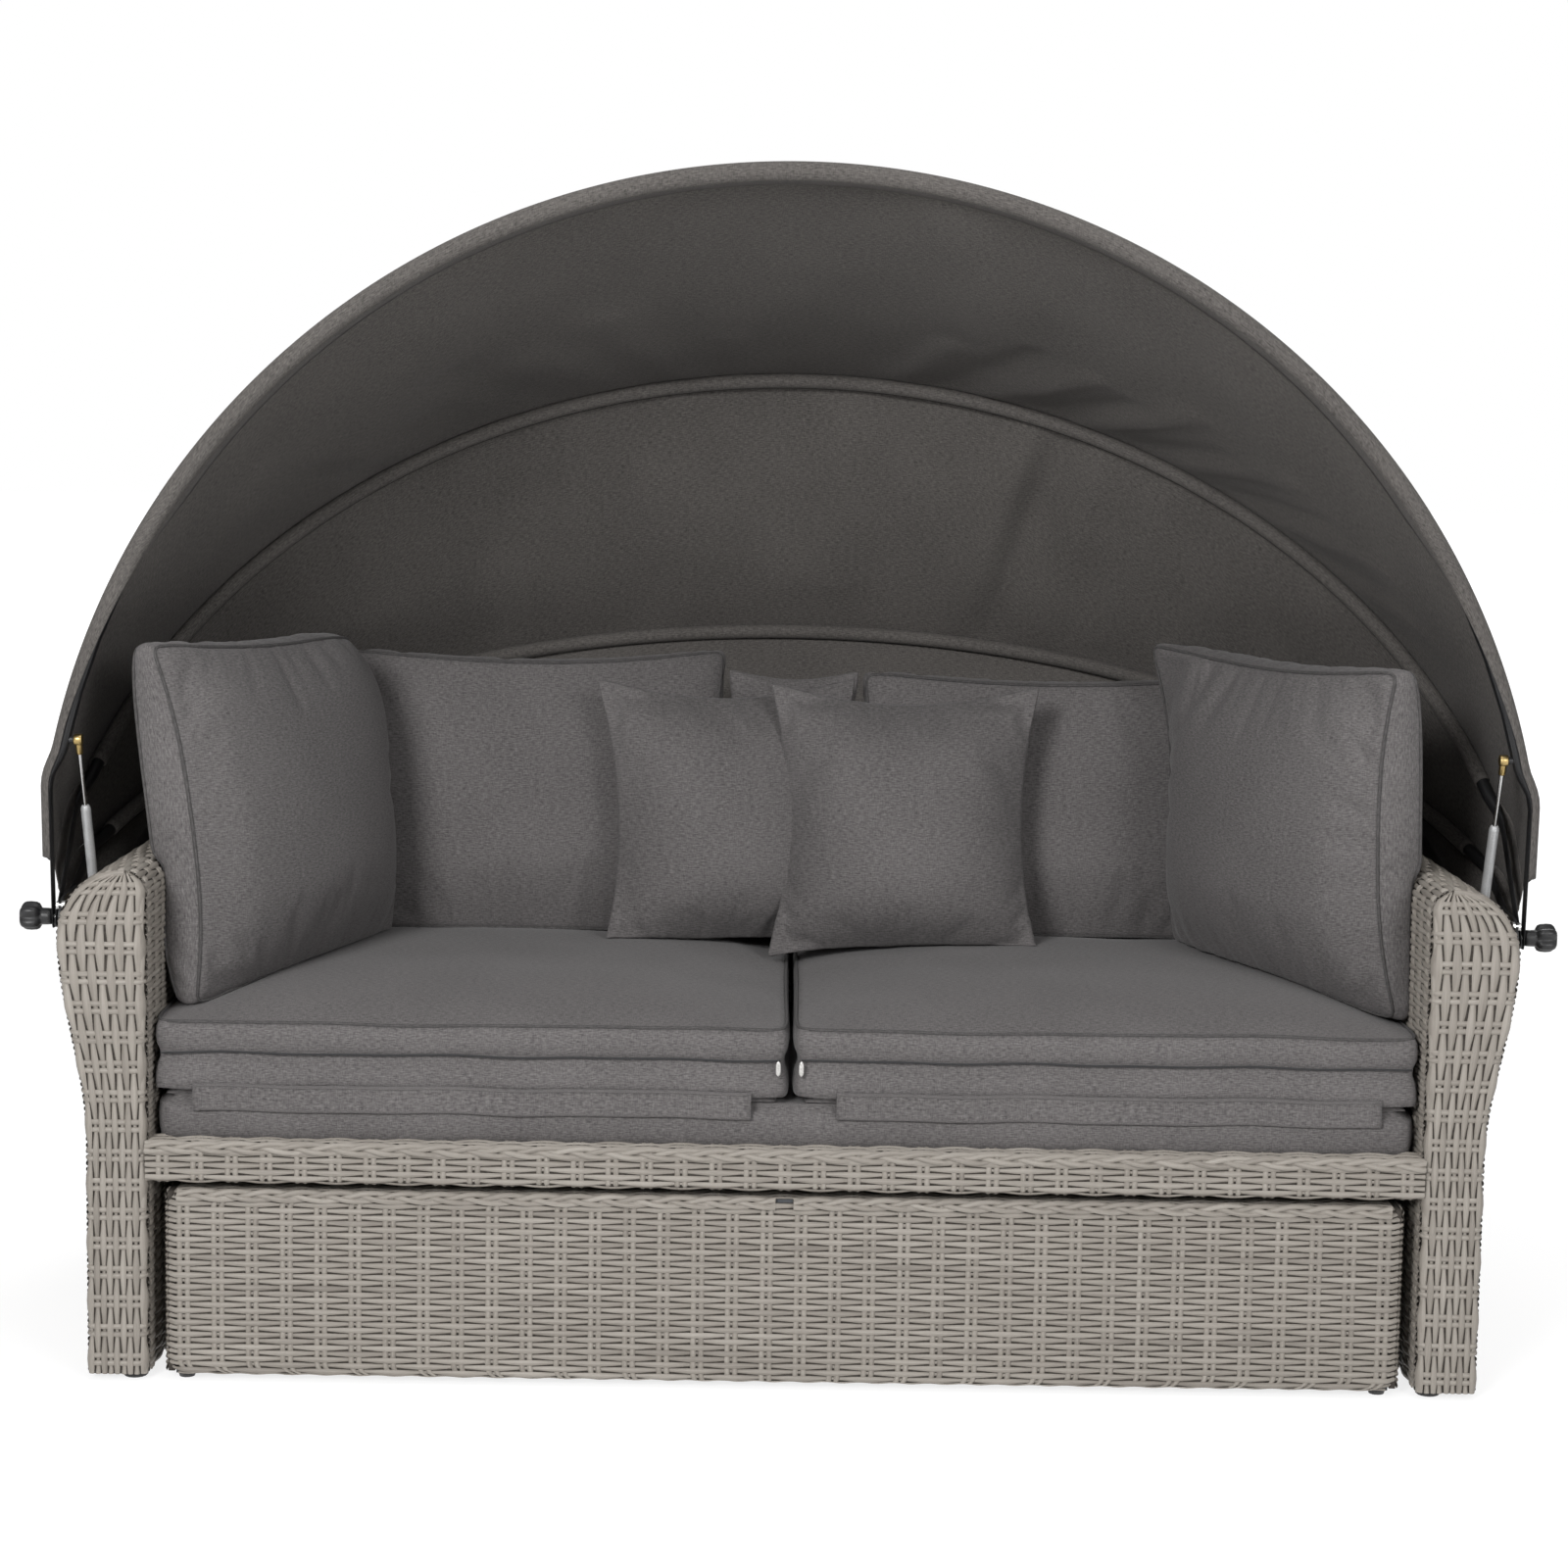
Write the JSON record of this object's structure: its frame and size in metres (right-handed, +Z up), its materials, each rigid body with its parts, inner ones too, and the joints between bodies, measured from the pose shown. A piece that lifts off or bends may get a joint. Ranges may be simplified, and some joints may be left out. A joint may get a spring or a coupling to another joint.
{
  "type": "outdoor daybed with canopy",
  "caption": "Woven outdoor daybed with flared arms, sliding footstool, loose cushions and a cloth canopy on hoops that fold back on gas springs.",
  "frame": {"origin": "on the floor, in the middle of the whole outline with the canopy up", "axes": "+X along the seat towards its left arm as a sitter sees it, -Y out of the front of the seat, +Z up"},
  "size_m": [2.1382, 1.1834, 1.6432],
  "materials": {
    "weave": "satin",
    "frame_tube": "matte",
    "black_steel": "satin",
    "hoop_tube": "satin",
    "zinc": "satin",
    "spring_silver": "satin",
    "black_plastic": "matte",
    "cushion_cloth": "matte",
    "canopy_cloth": "matte",
    "webbing": "matte"
  },
  "bodies": {
    "sofa": {"arm_weave_left": "weave", "arm_weave_right": "weave", "back_weave": "weave", "front_rail_weave": "weave", "front_rail_tube": "frame_tube", "rear_rail_tube": "frame_tube", "back_top_tube": "frame_tube", "arm_frame_left": "frame_tube", "arm_frame_right": "frame_tube", "seat_slat_1": "frame_tube", "seat_slat_2": "frame_tube", "seat_slat_3": "frame_tube", "seat_slat_4": "frame_tube", "front_glide_left": "black_plastic", "front_glide_right": "black_plastic", "rear_glide_left": "black_plastic", "rear_glide_right": "black_plastic", "hinge_bracket_left": "black_steel", "hinge_bracket_right": "black_steel", "hinge_bolt_left": "zinc", "hinge_bolt_right": "zinc", "hinge_spacer_upper_left": "zinc", "hinge_spacer_upper_right": "zinc", "hinge_spacer_lower_left": "zinc", "hinge_spacer_lower_right": "zinc", "rear_hoop": "hoop_tube", "canopy_back_panel": "canopy_cloth", "canopy_side_panel_left": "canopy_cloth", "canopy_side_panel_right": "canopy_cloth", "base_cushion": "cushion_cloth", "top_cushion_left": "cushion_cloth", "top_cushion_right": "cushion_cloth", "side_cushion_left": "cushion_cloth", "side_cushion_right": "cushion_cloth", "back_cushion_left": "cushion_cloth", "back_cushion_right": "cushion_cloth", "throw_pillow_left": "cushion_cloth", "throw_pillow_middle": "cushion_cloth", "throw_pillow_squeezed": "cushion_cloth"},
    "footstool": {"footstool_front_weave": "weave", "footstool_side_weave_left": "weave", "footstool_side_weave_right": "weave", "footstool_top_weave": "weave", "footstool_front_tube": "frame_tube", "footstool_rear_tube": "frame_tube", "footstool_front_leg_left": "frame_tube", "footstool_front_leg_right": "frame_tube", "footstool_rear_leg_left": "frame_tube", "footstool_rear_leg_right": "frame_tube", "pull_tab": "webbing"},
    "middle_canopy": {"middle_hoop": "hoop_tube", "canopy_middle_panel": "canopy_cloth"},
    "front_canopy": {"front_hoop": "hoop_tube", "canopy_front_panel": "canopy_cloth"},
    "spring_tube_left": {"gas_spring_tube_left": "spring_silver"},
    "spring_rod_left": {"gas_spring_rod_left": "zinc"},
    "knob_left": {"star_knob_left": "black_plastic"},
    "spring_tube_right": {"gas_spring_tube_right": "spring_silver"},
    "spring_rod_right": {"gas_spring_rod_right": "zinc"},
    "knob_right": {"star_knob_right": "black_plastic"}
  },
  "joints": [
    {"name": "footstool_slide", "type": "slide", "parent": "sofa", "child": "footstool", "axis": [0, -1, 0], "range_m": [0, 0.6]},
    {"name": "middle_canopy_fold", "type": "hinge", "parent": "sofa", "child": "middle_canopy", "pos_m": [0, -0.39174, 0.6], "axis": [-1, 0, 0], "range_deg": [0, 20]},
    {"name": "front_canopy_fold", "type": "hinge", "parent": "middle_canopy", "child": "front_canopy", "pos_m": [0, -0.39174, 0.6], "axis": [-1, 0, 0], "range_deg": [0, 38], "deforming": ["canopy_front_panel", "canopy_middle_panel"]},
    {"name": "spring_swing_left", "type": "hinge", "parent": "sofa", "child": "spring_tube_left", "pos_m": [-0.982, -0.31674, 0.62], "axis": [-1, 0, 0], "range_deg": [0, 67.07]},
    {"name": "spring_stroke_left", "type": "slide", "parent": "spring_tube_left", "child": "spring_rod_left", "axis": [0, -0.3738, 0.9275], "range_m": [-0.06767, 0]},
    {"name": "knob_turn_left", "type": "hinge", "parent": "sofa", "child": "knob_left", "pos_m": [-1.0311, -0.39174, 0.6], "axis": [-1, 0, 0], "continuous": true},
    {"name": "spring_swing_right", "type": "hinge", "parent": "sofa", "child": "spring_tube_right", "pos_m": [0.982, -0.31674, 0.62], "axis": [-1, 0, 0], "range_deg": [0, 67.07]},
    {"name": "spring_stroke_right", "type": "slide", "parent": "spring_tube_right", "child": "spring_rod_right", "axis": [0, -0.3738, 0.9275], "range_m": [-0.06767, 0]},
    {"name": "knob_turn_right", "type": "hinge", "parent": "sofa", "child": "knob_right", "pos_m": [1.0311, -0.39174, 0.6], "axis": [1, 0, 0], "continuous": true}
  ],
  "couplings": [
    {"joint": "middle_canopy_fold", "follows": "front_canopy_fold", "ratio": 0.52632},
    {"joint": "spring_swing_left", "follows": "front_canopy_fold", "ratio": 1.7636},
    {"joint": "spring_stroke_left", "follows": "front_canopy_fold", "m_per_rad": -0.10188},
    {"joint": "spring_swing_right", "follows": "front_canopy_fold", "ratio": 1.7636},
    {"joint": "spring_stroke_right", "follows": "front_canopy_fold", "m_per_rad": -0.10188}
  ]
}
